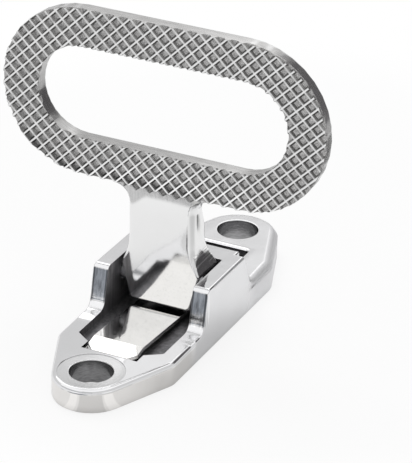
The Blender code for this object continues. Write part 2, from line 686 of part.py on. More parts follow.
def build_leaf(material):
    """Leaf spring: a bent strip with a clipped front lip."""
    path = leaf_path()
    clip_y = path[0][0] + LIP_CORNER_CUT
    clip_z = path[0][1] + (path[1][1] - path[0][1]) * LIP_CORNER_CUT / (path[1][0] - path[0][0])
    path.insert(1, (clip_y, clip_z))
    rings = []
    for i, (y, z) in enumerate(path):
        ahead = Vector(path[min(i + 1, len(path) - 1)])
        behind = Vector(path[max(i - 1, 0)])
        way = (ahead - behind).normalized()
        half = LEAF_HALF_WIDTH - (LIP_CORNER_CUT if i == 0 else 0.0)
        under = (y + way.y * LEAF_THICKNESS, z - way.x * LEAF_THICKNESS)
        rings.append([(half, y, z), (-half, y, z), (-half, *under), (half, *under)])
    return finish(add_object("leaf_spring", loft(rings)), material)


def main():
    """Build the four pieces of the step."""
    clear_scene()
    base_steel = metal("base_polished_stainless", (0.78, 0.78, 0.79), 0.08)
    arm_steel = metal("arm_polished_stainless", (0.80, 0.80, 0.80), 0.10)
    pin_steel = metal("pin_ground_steel", (0.62, 0.62, 0.64), 0.25)
    spring_steel = metal("leaf_rolled_spring_steel", (0.70, 0.69, 0.66), 0.22)
    build_base(base_steel)
    build_arm(arm_steel)
    build_pin(pin_steel)
    build_leaf(spring_steel)


main()
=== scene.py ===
"""Looks of a folding trailer step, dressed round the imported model.

The four pieces are welded, smooth-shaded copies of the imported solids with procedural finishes: two
mirror-polished castings with an as-cast tread and pocket, drilled bolt holes and a faced ring, a rolled
leaf and a ground pin. They stand on a white studio table in soft light. Cards in the room and darker
areas of the table, which only the metal mirrors, give the polish its dark and bright bands. The camera
looks from the photograph's angle.
"""

from __future__ import annotations

import json
import logging
import math
from abc import ABC, abstractmethod
from dataclasses import dataclass, field, replace
from enum import Enum
from typing import Any, Mapping, Sequence

import bmesh
import bpy
from mathutils import Matrix, Vector

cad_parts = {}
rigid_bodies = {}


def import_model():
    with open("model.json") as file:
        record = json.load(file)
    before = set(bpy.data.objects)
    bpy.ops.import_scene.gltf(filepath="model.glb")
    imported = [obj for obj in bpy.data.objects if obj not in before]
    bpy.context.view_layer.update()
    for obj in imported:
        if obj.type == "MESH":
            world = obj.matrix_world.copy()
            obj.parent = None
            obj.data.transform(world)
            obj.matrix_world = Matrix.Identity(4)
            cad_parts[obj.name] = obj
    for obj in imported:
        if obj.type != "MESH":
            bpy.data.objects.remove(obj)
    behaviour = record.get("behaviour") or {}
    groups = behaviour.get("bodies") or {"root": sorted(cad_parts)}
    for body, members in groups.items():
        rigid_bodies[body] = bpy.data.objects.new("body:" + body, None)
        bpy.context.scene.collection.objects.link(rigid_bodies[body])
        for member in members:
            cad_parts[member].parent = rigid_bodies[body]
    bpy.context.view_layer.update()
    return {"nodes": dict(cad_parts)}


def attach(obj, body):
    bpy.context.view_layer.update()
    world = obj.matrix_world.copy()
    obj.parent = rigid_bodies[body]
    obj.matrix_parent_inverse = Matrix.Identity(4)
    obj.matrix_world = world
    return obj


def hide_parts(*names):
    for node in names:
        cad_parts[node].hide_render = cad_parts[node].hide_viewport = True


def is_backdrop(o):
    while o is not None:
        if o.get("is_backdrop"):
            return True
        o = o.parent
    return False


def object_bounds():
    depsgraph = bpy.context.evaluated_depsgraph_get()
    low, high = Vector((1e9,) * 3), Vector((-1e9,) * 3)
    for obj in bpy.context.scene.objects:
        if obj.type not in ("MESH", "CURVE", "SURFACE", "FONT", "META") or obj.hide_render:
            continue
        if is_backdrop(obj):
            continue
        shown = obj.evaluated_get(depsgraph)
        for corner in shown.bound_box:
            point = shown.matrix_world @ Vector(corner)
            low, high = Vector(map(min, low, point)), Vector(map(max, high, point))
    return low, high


LOG = logging.getLogger("trailer_step")
MM = 0.001
Colour = tuple[float, float, float]
WHITE: Colour = (1.0, 1.0, 1.0)


class Body(Enum):
    """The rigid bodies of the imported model."""

    BASE = "base"
    STEP = "step"


class Slot(Enum):
    """The record's material slots."""

    BASE = "polished_base"
    ARM = "polished_arm"
    PIN = "ground_pin"
    LEAF = "spring_steel"


class Axis(Enum):
    """Direction that rolling or grinding lines run in, as scale factors for X, Y and Z."""

    ALONG_X = (0.05, 1.0, 1.0)
    ALONG_Y = (1.0, 0.05, 1.0)


# Shader expressions


@dataclass(frozen=True)
class Edge:
    """The value at which a mask is a half, and half the width over which it changes."""

    at: float
    soft: float


@dataclass(frozen=True)
class Span:
    """The values between two edges."""

    start: Edge
    end: Edge

    def mask(self, value: Socket) -> Socket:
        """Mask that is 1 between the edges."""
        return value.above(self.start) * value.below(self.end)


class Socket:
    """A value in a node tree. Python's operators on it add the nodes that work the result out."""

    def __init__(self, tree: Tree, link: bpy.types.NodeSocket) -> None:
        """Wrap one output socket.

        Args:
            tree: The tree that the socket is in.
            link: The output socket itself.
        """
        self.tree = tree
        self.link = link

    def __add__(self, other: Number) -> Socket:
        """Sum of two values."""
        return self.tree.math("ADD", self, other)

    def __radd__(self, other: Number) -> Socket:
        """Sum with a plain number on the left."""
        return self.tree.math("ADD", other, self)

    def __sub__(self, other: Number) -> Socket:
        """Difference of two values."""
        return self.tree.math("SUBTRACT", self, other)

    def __rsub__(self, other: Number) -> Socket:
        """Difference with a plain number on the left."""
        return self.tree.math("SUBTRACT", other, self)

    def __mul__(self, other: Number) -> Socket:
        """Product of two values."""
        return self.tree.math("MULTIPLY", self, other)

    def __rmul__(self, other: Number) -> Socket:
        """Product with a plain number on the left."""
        return self.tree.math("MULTIPLY", other, self)

    def __truediv__(self, other: Number) -> Socket:
        """Quotient of two values."""
        return self.tree.math("DIVIDE", self, other)

    def __pow__(self, other: Number) -> Socket:
        """Power of a value."""
        return self.tree.math("POWER", self, other)

    def __abs__(self) -> Socket:
        """Size of a value without its sign."""
        return self.tree.math("ABSOLUTE", self, 0.0)

    def sine(self) -> Socket:
        """Sine of a value in radians."""
        return self.tree.math("SINE", self, 0.0)

    def fraction(self) -> Socket:
        """What is left of a value above its whole number."""
        return self.tree.math("FRACT", self, 0.0)

    def at_least(self, other: Number) -> Socket:
        """The larger of two values."""
        return self.tree.math("MAXIMUM", self, other)

    def at_most(self, other: Number) -> Socket:
        """The smaller of two values."""
        return self.tree.math("MINIMUM", self, other)

    def above(self, edge: Edge) -> Socket:
        """Mask that rises from 0 to 1 across an edge."""
        inputs = {"Value": self, "From Min": edge.at - edge.soft, "From Max": edge.at + edge.soft}
        return self.tree.node("ShaderNodeMapRange", {"interpolation_type": "SMOOTHSTEP"}, inputs)

    def below(self, edge: Edge) -> Socket:
        """Mask that falls from 1 to 0 across an edge."""
        return 1.0 - self.above(edge)

    def swing(self, amount: float) -> Socket:
        """A pattern from 0 to 1, turned into a change of half the amount up or down."""
        return (self - 0.5) * amount

    def gain(self, change: Number) -> Socket:
        """Factor that is 1 off this mask, and 1 plus the change on it."""
        return 1.0 + self * change


Number = Socket | float
Paint = Socket | Colour
Settings = Mapping[str, Any]
Inputs = Mapping[str | int, Any]


class Tree:
    """A material's or a world's node tree, filled from Python expressions."""

    CORNER_SAMPLES = 8
    BEVEL_SAMPLES = 6

    def __init__(self, owner: bpy.types.Material | bpy.types.World) -> None:
        """Empty the owner's tree and keep it.

        Args:
            owner: The material or world whose nodes are made.
        """
        owner.use_nodes = True
        self.tree = owner.node_tree
        self.tree.nodes.clear()

    def node(self, kind: str, settings: Settings | None = None, inputs: Inputs | None = None,
             output: str | int = 0) -> Socket:
        """Add one node.

        Args:
            kind: Blender's name of the node's type.
            settings: Attributes set first; "stops" is a colour ramp's list of (place, grey).
            inputs: Values or links, by the input's name or number.
            output: Name or number of the output that is returned.

        Returns:
            The chosen output.
        """
        made = self.tree.nodes.new(kind)
        for name, value in (settings or {}).items():
            if name == "stops":
                self.fill_ramp(made.color_ramp, value)
            else:
                setattr(made, name, value)
        for name, value in (inputs or {}).items():
            self.feed(made.inputs[name], value)
        return Socket(self, made.outputs[output])

    def feed(self, entry: bpy.types.NodeSocket, value: Any) -> None:
        """Link a socket or set its value.

        Args:
            entry: The input socket.
            value: A Socket, a number, or three numbers of a vector or a colour.
        """
        if isinstance(value, Socket):
            self.tree.links.new(value.link, entry)
        elif entry.type == "RGBA":
            entry.default_value = (*value, 1.0)
        else:
            entry.default_value = value

    @staticmethod
    def fill_ramp(ramp: bpy.types.ColorRamp, stops: Sequence[tuple[float, float]]) -> None:
        """Give a colour ramp its grey stops.

        Args:
            ramp: The node's ramp.
            stops: Places from 0 to 1 with the grey at each.
        """
        while len(ramp.elements) > 1:
            ramp.elements.remove(ramp.elements[-1])
        ramp.elements[0].position = stops[0][0]
        for place, _ in stops[1:]:
            ramp.elements.new(place)
        for element, (_, grey) in zip(ramp.elements, stops):
            element.color = (grey, grey, grey, 1.0)

    def math(self, operation: str, first: Number, second: Number) -> Socket:
        """Add a Math node on two values."""
        return self.node("ShaderNodeMath", {"operation": operation}, {0: first, 1: second})

    def mix(self, share: Number, first: Paint, second: Paint) -> Socket:
        """Mix two colours.

        Args:
            share: Share of the second colour.
            first: Colour at share 0.
            second: Colour at share 1.

        Returns:
            The mixed colour.
        """
        return self.node("ShaderNodeMix", {"data_type": "RGBA"}, {0: share, 6: first, 7: second}, 2)

    def shade(self, colour: Paint, grey: Number) -> Socket:
        """Darken or lighten a colour by a grey factor.

        Args:
            colour: The colour, as three numbers or a link.
            grey: The factor, 1 for no change.

        Returns:
            The product.
        """
        factor = self.node("ShaderNodeCombineXYZ", None, {0: grey, 1: grey, 2: grey})
        return self.node("ShaderNodeVectorMath", {"operation": "MULTIPLY"}, {0: colour, 1: factor})

    def stretch(self, vector: Socket, scale: Sequence[float]) -> Socket:
        """Multiply a vector by three numbers."""
        return self.node("ShaderNodeVectorMath", {"operation": "MULTIPLY"}, {0: vector, 1: tuple(scale)})

    def split(self, vector: Socket) -> tuple[Socket, Socket, Socket]:
        """The three components of a vector."""
        parts = self.node("ShaderNodeSeparateXYZ", None, {0: vector}).link.node
        return tuple(Socket(self, parts.outputs[k]) for k in range(3))

    def own_place(self) -> Socket:
        """Place on the object in metres, which moves with the object."""
        return self.node("ShaderNodeTexCoord", None, None, "Object")

    def rays(self) -> tuple[Socket, Socket, Socket]:
        """Masks of the camera's rays, of glossy rays and of rays through glass."""
        path = self.node("ShaderNodeLightPath").link.node.outputs
        return tuple(Socket(self, path[f"Is {kind} Ray"]) for kind in ("Camera", "Glossy", "Transmission"))

    def openness(self, reach: float) -> Socket:
        """1 in the open, towards 0 in corners that are closer than the reach, in mm."""
        settings = {"samples": self.CORNER_SAMPLES}
        return self.node("ShaderNodeAmbientOcclusion", settings, {"Distance": reach * MM}, "AO")

    def bump(self, height: Number, edge_round: float) -> Socket:
        """Normal with eased edges and a height on it.

        Args:
            height: Height in mm.
            edge_round: Radius in mm that sharp edges are eased with.

        Returns:
            The normal.
        """
        eased = self.node("ShaderNodeBevel", {"samples": self.BEVEL_SAMPLES}, {"Radius": edge_round * MM})
        inputs = {"Strength": 1.0, "Distance": MM, "Height": height, "Normal": eased}
        return self.node("ShaderNodeBump", None, inputs)

    def surface(self, constants: Inputs, varying: Inputs) -> None:
        """End the tree in a Principled shader.

        Args:
            constants: Sockets that are the same all over the surface.
            varying: Sockets that are linked.
        """
        shader = self.node("ShaderNodeBsdfPrincipled", None, {**constants, **varying})
        self.finish("ShaderNodeOutputMaterial", shader)

    def finish(self, kind: str, shader: Socket) -> None:
        """Link a shader to an output node of the given type."""
        made = self.tree.nodes.new(kind)
        self.tree.links.new(shader.link, made.inputs["Surface"])


# Finishes


@dataclass(frozen=True)
class MetalLook:
    """Colour and gloss of one kind of metal surface."""

    colour: Colour
    roughness: float


@dataclass(frozen=True)
class Pattern:
    """Noise in a surface, and how much it changes the grey, the roughness and, in mm, the height."""

    lumps_per_mm: float
    octaves: float
    stretch: tuple[float, float, float] = (1.0, 1.0, 1.0)
    grey: float = 0.0
    gloss: float = 0.0
    height: float = 0.0

    def on(self, tree: Tree, place: Socket) -> Socket:
        """The pattern's value.

        Args:
            tree: The material's tree.
            place: Place on the piece in mm.

        Returns:
            The value, from 0 to 1.
        """
        drawn_out = tree.stretch(place, self.stretch)
        inputs = {"Vector": drawn_out, "Scale": self.lumps_per_mm, "Detail": self.octaves}
        return tree.node("ShaderNodeTexNoise", None, inputs)


@dataclass(frozen=True)
class PaintedCornerShade:
    """Painted shade in corners: how far out it reaches, in mm, and the share of light that it takes from the
    colour.
    """

    reach: float
    loss: float

    def shade(self, tree: Tree) -> Socket:
        """Colour factor of painted shade: 1 in the open and lower in corners."""
        return (1.0 - self.loss) + self.loss * tree.openness(self.reach)


@dataclass(frozen=True)
class Skin:
    """What a finish works out over a surface. The height is in mm."""

    colour: Paint
    grey: Socket
    gloss: Socket
    height: Socket


class Finish(ABC):
    """A metal finish that is worked out from the place on its piece."""

    edge_round: float

    def make(self, name: str) -> bpy.types.Material:
        """Build the material.

        Args:
            name: Name of the material.

        Returns:
            The material.
        """
        material = bpy.data.materials.new(name)
        tree = Tree(material)
        skin = self.skin(tree, tree.stretch(tree.own_place(), (1.0 / MM,) * 3))
        tree.surface({"Metallic": 1.0},
                     {"Base Color": tree.shade(skin.colour, skin.grey), "Roughness": skin.gloss,
                      "Normal": tree.bump(skin.height, self.edge_round)})
        return material

    @abstractmethod
    def skin(self, tree: Tree, place: Socket) -> Skin:
        """Work out the surface.

        Args:
            tree: The material's tree.
            place: Place on the piece in mm.

        Returns:
            The surface's colour, grey, gloss and height.
        """


@dataclass(frozen=True)
class Rectangle:
    """A rectangle in plan, as wide on the left as on the right. Lengths in mm."""

    half: float
    start: float
    end: float
    soft: float = 0.02

    def mask(self, x: Socket, y: Socket) -> Socket:
        """Mask that is 1 inside the rectangle."""
        ends = Span(Edge(self.start, self.soft), Edge(self.end, self.soft))
        return abs(x).below(Edge(self.half, self.soft)) * ends.mask(y)


@dataclass(frozen=True)
class BaseAreas:
    """Masks of the base casting's areas, and the turning marks on its ring."""

    bore: Socket
    ring: Socket
    turning: Socket
    hollow: Socket
    rough: Socket
    wall: Socket
    column: Socket
    column_sides: Socket
    boss: Socket
    shoulder: Socket
    brow: Socket


@dataclass(frozen=True)
class BaseFinish(Finish):
    """Polished base casting with an as-cast inside, drilled bolt holes and a faced ring.

    Lengths are in mm and the turning rate is in radians per mm. The crown is how far the surface falls at
    1 mm from its middle, and the fall grows with the distance squared.
    """

    # Metals
    polished: MetalLook = MetalLook((0.80, 0.80, 0.81), 0.05)
    cast: MetalLook = MetalLook((0.25, 0.246, 0.256), 0.42)
    faced: MetalLook = MetalLook((0.67, 0.67, 0.675), 0.20)
    drilled: Colour = (0.31, 0.31, 0.315)
    warm: Colour = (0.81, 0.795, 0.78)
    corners: PaintedCornerShade = PaintedCornerShade(2.5, 0.28)
    edge_round: float = 0.16

    # Patterns
    cloud: Pattern = Pattern(0.09, 3.0, grey=0.08, gloss=0.03, height=0.10)
    hairs: Pattern = Pattern(2.2, 3.0, (1.0, 0.06, 1.0), gloss=0.02, height=0.002)
    grain: Pattern = Pattern(2.4, 4.0, gloss=0.12, height=0.025)
    streaks: Pattern = Pattern(0.9, 3.0, (1.0, 1.0, 0.08), grey=1.3)
    cuts: Pattern = Pattern(4.5, 3.0, (0.12, 0.12, 1.0), grey=1.4, height=0.015)
    facets: Pattern = Pattern(0.16, 2.0, (1.0, 1.0, 0.04), height=0.22)

    # Front tab: its warm tint, wavy walls and crown
    tab_height: float = 8.0
    tab_end: float = -22.0
    wall_top: Edge = Edge(tab_height - 1.6, 0.3)
    warm_end: Edge = Edge(tab_end, 4.0)
    facet_end: Edge = Edge(tab_end, 6.0)
    crown_end: Edge = Edge(tab_end, 2.0)
    crown: float = 0.003

    # Bolt holes, with painted shade in both and painted light in the rear one, and the ring round the front
    # one
    hole_ys: tuple[float, float] = (-50.6, 49.4)
    bore_edge: Edge = Edge(6.7, 0.05)
    bore_satin: float = 0.08
    rear_bore: Edge = Edge(0.0, 1.0)
    rear_bore_painted_light: float = 0.50
    bore_painted_shade: float = 0.22
    ring_edge: Edge = Edge(10.2, 0.05)
    ring_floor: Edge = Edge(tab_height - 1.0, 0.1)
    turning_rate: float = 9.0
    turning_height: float = 0.0012

    # Pocket of the leaf, and the hollow behind the bridge, which is painted with shade
    pocket: Rectangle = Rectangle(14.36, -35.2, 7.6)
    pocket_rim: Edge = Edge(tab_height - 0.12, 0.03)
    behind_tab: Edge = Edge(tab_end, 0.1)
    hollow: Rectangle = Rectangle(9.5, 17.2, 38.0)
    hollow_lip: Rectangle = Rectangle(11.0, 16.2, 39.6)
    hollow_rim: Edge = Edge(8.9, 0.2)
    hollow_painted_shade: float = 0.60

    # Front faces of the ears, with painted dark reflections along their sides
    column_y: Span = Span(Edge(-17.6, 0.3), Edge(-11.4, 0.1))
    column_z: Span = Span(Edge(10.0, 0.8), Edge(20.3, 0.15))
    column_inner: Edge = Edge(14.9, 0.25)
    column_outer: Span = Span(Edge(18.6, 0.15), Edge(19.2, 0.1))
    column_streaks: float = 2.2
    column_side_painted_reflection: float = 0.70

    # Rear boss, with painted shade on its upper part
    boss_start: Edge = Edge(18.0, 6.0)
    boss_top: float = 9.7
    boss_side: Edge = Edge(boss_top, 0.06)
    boss_upper: Edge = Edge(boss_top - 2.6, 0.5)
    boss_top_painted_shade: float = 0.12
    boss_satin: float = 0.12
    side_satin: float = 0.44

    # Shoulders in front of the ears, and the ears' upper outer edges, which get painted shade
    shoulder_y: Span = Span(Edge(-25.0, 2.0), Edge(-16.2, 0.5))
    shoulder_z: Edge = Edge(7.6, 0.2)
    shoulder_satin: float = 0.16
    brow_x: Edge = Edge(18.95, 0.08)
    brow_y: Edge = Edge(-9.0, 1.0)
    brow_z: Edge = Edge(20.5, 0.08)
    brow_satin: float = 0.34
    brow_painted_shade: float = 0.20

    def skin(self, tree: Tree, place: Socket) -> Skin:
        """Work out the surface.

        Args:
            tree: The material's tree.
            place: Place on the piece in mm.

        Returns:
            The surface's colour, grey, gloss and height.
        """
        x, y, z = tree.split(place)
        on = self.areas(x, y, z)
        patterns = (self.cloud, self.hairs, self.grain, self.streaks, self.cuts, self.facets)
        cloud, hairs, grain, streaks, cuts, facets = (pattern.on(tree, place) for pattern in patterns)

        # Painted shade in corners, times a random cloud tone
        grey = (1.0 + cloud.swing(self.cloud.grey)) * self.corners.shade(tree)
        for mask, change in ((on.rough, streaks.swing(self.streaks.grey)),
                             (on.bore, cuts.swing(self.cuts.grey)),
                             # Painted shade in both holes, and painted light in the rear one
                             (on.bore, y.above(self.rear_bore) * self.rear_bore_painted_light - self.bore_painted_shade),
                             (on.column, streaks.swing(self.column_streaks)),
                             # Painted dark reflections along the sides of the ears' front faces
                             (on.column * on.column_sides, -self.column_side_painted_reflection),
                             # Painted shade in the hollow behind the bridge
                             (on.hollow, -self.hollow_painted_shade),
                             # Painted shade on the rear boss's upper part
                             (on.boss * z.above(self.boss_upper), -self.boss_top_painted_shade),
                             # Painted shade on the ears' upper outer edges
                             (on.brow, -self.brow_painted_shade)):
            grey = grey * mask.gain(change)

        colour = tree.mix(on.wall * y.below(self.warm_end), self.polished.colour, self.warm)
        for mask, paint in ((on.rough, self.cast.colour),
                            (on.ring, self.faced.colour),
                            (on.bore, self.drilled)):
            colour = tree.mix(mask, colour, paint)

        plain = self.polished.roughness
        gloss = plain + self.cloud.gloss * cloud + self.hairs.gloss * hairs
        for mask, satin in ((on.rough, self.cast.roughness - plain + self.grain.gloss * grain),
                            (on.ring, self.faced.roughness - plain),
                            (on.bore, self.bore_satin),
                            (on.boss, self.boss_satin + z.below(self.boss_side) * self.side_satin),
                            (on.shoulder, self.shoulder_satin),
                            (on.brow, self.brow_satin)):
            gloss = gloss + mask * satin

        height = self.cloud.height * cloud + self.hairs.height * hairs
        height = height - x * x * y.below(self.crown_end) * self.crown
        for mask, relief in ((on.rough, self.grain.height * grain),
                             (on.bore, self.cuts.height * cuts),
                             (on.ring, self.turning_height * on.turning),
                             (on.wall * y.below(self.facet_end), self.facets.height * facets)):
            height = height + mask * relief
        return Skin(colour, grey, gloss, height)

    def areas(self, x: Socket, y: Socket, z: Socket) -> BaseAreas:
        """Work out where each area is.

        Args:
            x: Place across.
            y: Place along.
            z: Place up.

        Returns:
            The areas' masks.
        """
        from_front, from_rear = (self.distance(x, y, hole_y) for hole_y in self.hole_ys)
        bore = from_front.at_most(from_rear).below(self.bore_edge)
        pocket = self.pocket.mask(x, y) * z.below(self.pocket_rim).at_least(y.above(self.behind_tab))
        hollow = self.hollow.mask(x, y) * z.below(self.hollow_rim)
        rough = pocket.at_least(hollow)
        clean = 1.0 - rough
        return BaseAreas(
            bore=bore,
            ring=from_front.below(self.ring_edge) * z.above(self.ring_floor),
            turning=(from_front * self.turning_rate).sine(),
            hollow=hollow,
            rough=rough,
            wall=z.below(self.wall_top) * clean * (1.0 - bore),
            column=self.column_y.mask(y) * self.column_z.mask(z) * clean,
            column_sides=abs(x).below(self.column_inner).at_least(self.column_outer.mask(abs(x))),
            boss=y.above(self.boss_start) * clean * (1.0 - bore) * (1.0 - self.hollow_lip.mask(x, y)),
            shoulder=self.shoulder_y.mask(y) * z.above(self.shoulder_z) * clean,
            brow=abs(x).above(self.brow_x) * y.above(self.brow_y) * z.above(self.brow_z))

    @staticmethod
    def distance(x: Socket, y: Socket, hole_y: float) -> Socket:
        """Distance from an upright hole's axis."""
        return (x * x + (y - hole_y) * (y - hole_y)) ** 0.5


@dataclass(frozen=True)
class ArmAreas:
    """Masks of the arm casting's areas."""

    pit: Socket
    pit_wall: Socket
    darker_low_pit: Socket
    rim: Socket
    inner_rim: Socket
    rising_ridge: Socket
    shaded_falling_ridge: Socket
    satin: Socket
    satin_front: Socket
    cheek: Socket
    toe: Socket


@dataclass(frozen=True)
class ArmFinish(Finish):
    """Polished arm casting whose tread pits keep the grey cast skin. Lengths in mm, crown as on the base."""

    # Metals
    polished: MetalLook = MetalLook((0.86, 0.86, 0.86), 0.055)
    cast: MetalLook = MetalLook((0.56, 0.553, 0.545), 0.40)
    brushed: MetalLook = MetalLook((0.57, 0.565, 0.56), 0.24)
    satin: MetalLook = MetalLook((0.60, 0.60, 0.60), 0.26)
    corners: PaintedCornerShade = PaintedCornerShade(2.0, 0.25)
    edge_round: float = 0.14
    crown: float = 0.002

    # Patterns
    cloud: Pattern = Pattern(0.11, 3.0, grey=0.08, gloss=0.04, height=0.04)
    hairs: Pattern = Pattern(2.0, 3.0, (1.0, 1.0, 0.06), grey=0.5, gloss=0.02, height=0.002)
    belt: Pattern = Pattern(2.4, 3.0, (0.10, 1.0, 0.10), grey=0.8, height=0.003)
    grain: Pattern = Pattern(2.6, 4.0, grey=2.2, height=0.035)
    patches: Pattern = Pattern(0.45, 2.0, grey=1.6)
    # Painted highlight streaks on the hub's cheeks
    painted_glint_streaks: Pattern = Pattern(1.1, 3.0, (1.0, 0.05, 1.0), grey=1.3)
    specks: Pattern = Pattern(1.3, 4.0)
    patch_start: float = 0.60
    glint_streak_edge: Edge = Edge(0.58, 0.03)
    speck_edge: Edge = Edge(0.62, 0.06)

    # Loop, with its bar's middle line as two straights and two arcs
    loop_z: float = 74.35
    straight_half: float = 26.35
    middle_radius: float = 20.85
    bar_half: float = 6.05
    bar_face: Edge = Edge(bar_half - 0.06, 0.04)
    rim_edge: Edge = Edge(bar_half - 0.10, 0.03)
    rim_start: Edge = Edge(40.0, 1.0)
    neck_half: Edge = Edge(14.0, 1.0)
    above_neck: Edge = Edge(loop_z - middle_radius, 1.0)
    inner_edge: Edge = Edge(0.0, 0.5)
    # The rim's inner side gets painted shade
    inner_rim_painted_shade: float = 0.22

    # Tread: depths are from its face, and the land is the neck's top, where pits run past the bar
    tread_y: float = -7.5
    skin_start: Edge = Edge(0.10, 0.06)
    ridge_face: Edge = Edge(0.30, 0.1)
    floor_start: Edge = Edge(0.80, 0.04)
    pit_end: Edge = Edge(1.25, 0.1)
    # Pit walls get painted shade, so they are darker than the pit floors
    pit_wall_painted_shade: float = 0.50
    land_offset: Span = Span(Edge(0.0, 0.1), Edge(bar_half + 2.2, 0.1))
    land_half: Edge = Edge(12.5, 0.3)
    land_top: Edge = Edge(loop_z, 1.0)
    land_depth: Edge = Edge(0.74, 0.03)
    pit_pitch: float = 3.18
    row_shift: float = 0.76
    ridge_edge: Edge = Edge(0.085, 0.02)
    crest_edge: Edge = Edge(0.020, 0.02)
    # Rising ridges get a painted highlight, and falling ridges get painted shade in random patches
    rising_ridge_painted_highlight: float = 0.14
    # Pits along the bottom edge of the loop's lower bar, towards the left, are darker
    low_pit_offset: Edge = Edge(3.4, 1.8)
    low_pit_z: Edge = Edge(-17.0, 3.0)
    low_pit_x: Edge = Edge(10.0, 8.0)
    low_pit_darkening: float = 0.55

    # Satin band under the tread, with a wavy lower edge that dips on the left
    satin_z: float = 44.3
    satin_wave: float = 0.8
    satin_dip: float = 3.4
    dip_edge: Edge = Edge(-7.0, 3.0)
    satin_start: Edge = Edge(0.0, 0.9)
    satin_end: Edge = Edge(loop_z - 26.0, 1.0)
    satin_y: Edge = Edge(-6.0, 0.3)
    satin_depth: Edge = Edge(0.03, 0.03)

    # Hub's cheeks, with painted shade and painted highlight streaks, and toe
    cheek_x: Edge = Edge(10.6, 0.3)
    cheek_y: Edge = Edge(-5.7, 0.3)
    cheek_z: Edge = Edge(27.5, 1.0)
    cheek_painted_shade: float = 0.42
    toe_y: Edge = Edge(-5.0, 0.5)
    toe_z: Edge = Edge(23.5, 3.0)
    speck_loss: float = 0.05

    def skin(self, tree: Tree, place: Socket) -> Skin:
        """Work out the surface.

        Args:
            tree: The material's tree.
            place: Place on the piece in mm.

        Returns:
            The surface's colour, grey, gloss and height.
        """
        x, y, z = tree.split(place)
        patterns = (self.cloud, self.hairs, self.belt, self.grain, self.patches, self.painted_glint_streaks, self.specks)
        cloud, hairs, belt, grain, patches, painted_glint_streaks, specks = (
            pattern.on(tree, place) for pattern in patterns)
        on = self.areas(x, y, z, cloud)

        # Painted shade in corners, times a random cloud tone
        grey = (1.0 + cloud.swing(self.cloud.grey)) * self.corners.shade(tree)
        falling_ridge_shade_patches = (self.patches.grey * patches - self.patch_start).at_least(0.0)
        glints_on_cheek = self.painted_glint_streaks.grey * painted_glint_streaks.above(self.glint_streak_edge)
        for mask, change in ((on.pit, grain.swing(self.grain.grey)),
                             # Painted shade on the pit walls
                             (on.pit_wall, -self.pit_wall_painted_shade),
                             # Darker pits along the bottom edge of the lower bar
                             (on.darker_low_pit, -self.low_pit_darkening),
                             (on.rim, belt.swing(self.belt.grey)),
                             # Painted shade on the loop's inner rim
                             (on.inner_rim, -self.inner_rim_painted_shade),
                             # Painted highlight on the rising ridges, and painted shade in random patches on
                             # the falling ones
                             (on.rising_ridge, self.rising_ridge_painted_highlight),
                             (on.shaded_falling_ridge * falling_ridge_shade_patches, -1.0),
                             (on.satin, hairs.swing(self.hairs.grey)),
                             # Painted shade on the hub's cheeks, with painted highlight streaks on it
                             (on.cheek, glints_on_cheek - self.cheek_painted_shade),
                             (on.toe * specks.above(self.speck_edge), -self.speck_loss)):
            grey = grey * mask.gain(change)

        colour = self.polished.colour
        for mask, look in ((on.pit, self.cast), (on.rim, self.brushed), (on.satin_front, self.satin)):
            colour = tree.mix(mask, colour, look.colour)

        gloss = self.polished.roughness + self.cloud.gloss * cloud + self.hairs.gloss * hairs
        for mask, look in ((on.pit, self.cast), (on.rim, self.brushed), (on.satin, self.satin)):
            gloss = gloss + mask * (look.roughness - self.polished.roughness)

        height = self.cloud.height * cloud + self.hairs.height * hairs - x * x * self.crown
        height = height + on.pit * (self.grain.height * grain) + on.rim * (self.belt.height * belt)
        return Skin(colour, grey, gloss, height)

    def areas(self, x: Socket, y: Socket, z: Socket, cloud: Socket) -> ArmAreas:
        """Work out where each area is.

        Args:
            x: Place across.
            y: Place along.
            z: Place up.
            cloud: Pattern that makes the satin band's edge wavy.

        Returns:
            The areas' masks.
        """
        along = (abs(x) - self.straight_half).at_least(0.0)
        across = z - self.loop_z
        offset = (along * along + across * across) ** 0.5 - self.middle_radius
        depth = y - self.tread_y

        on_bar = abs(offset).below(self.bar_face)
        on_land = self.land_offset.mask(offset) * abs(x).below(self.land_half) * z.below(self.land_top)
        skin = (on_bar * depth.above(self.skin_start)).at_least(on_land * depth.above(self.land_depth))
        pit = skin * depth.below(self.pit_end)
        low_edge_rows = offset.above(self.low_pit_offset) * across.below(self.low_pit_z) * x.below(self.low_pit_x)
        off_neck = z.above(self.above_neck).at_least(abs(x).above(self.neck_half))
        rim = abs(offset).above(self.rim_edge) * off_neck * z.above(self.rim_start)

        ridges = on_bar * depth.below(self.ridge_face)
        rising = self.ridge(x, across, -1.0, self.ridge_edge)
        falling = self.ridge(x, across, 1.0, self.ridge_edge)
        crest = self.ridge(x, across, 1.0, self.crest_edge)

        band_z = self.satin_z - self.satin_dip * x.below(self.dip_edge) + self.satin_wave * cloud
        satin = (z - band_z).above(self.satin_start) * z.below(self.satin_end) * y.below(self.satin_y)
        satin = satin * abs(x).below(self.neck_half) * (1.0 - pit)
        return ArmAreas(
            pit=pit,
            pit_wall=pit * depth.below(self.floor_start),
            darker_low_pit=pit * low_edge_rows,
            rim=rim,
            inner_rim=rim * offset.below(self.inner_edge),
            rising_ridge=rising * ridges * (1.0 - pit),
            shaded_falling_ridge=falling * (1.0 - crest) * (1.0 - rising) * ridges,
            satin=satin,
            satin_front=satin * depth.above(self.satin_depth),
            cheek=abs(x).above(self.cheek_x) * y.above(self.cheek_y) * z.below(self.cheek_z),
            toe=z.below(self.toe_z) * y.below(self.toe_y))

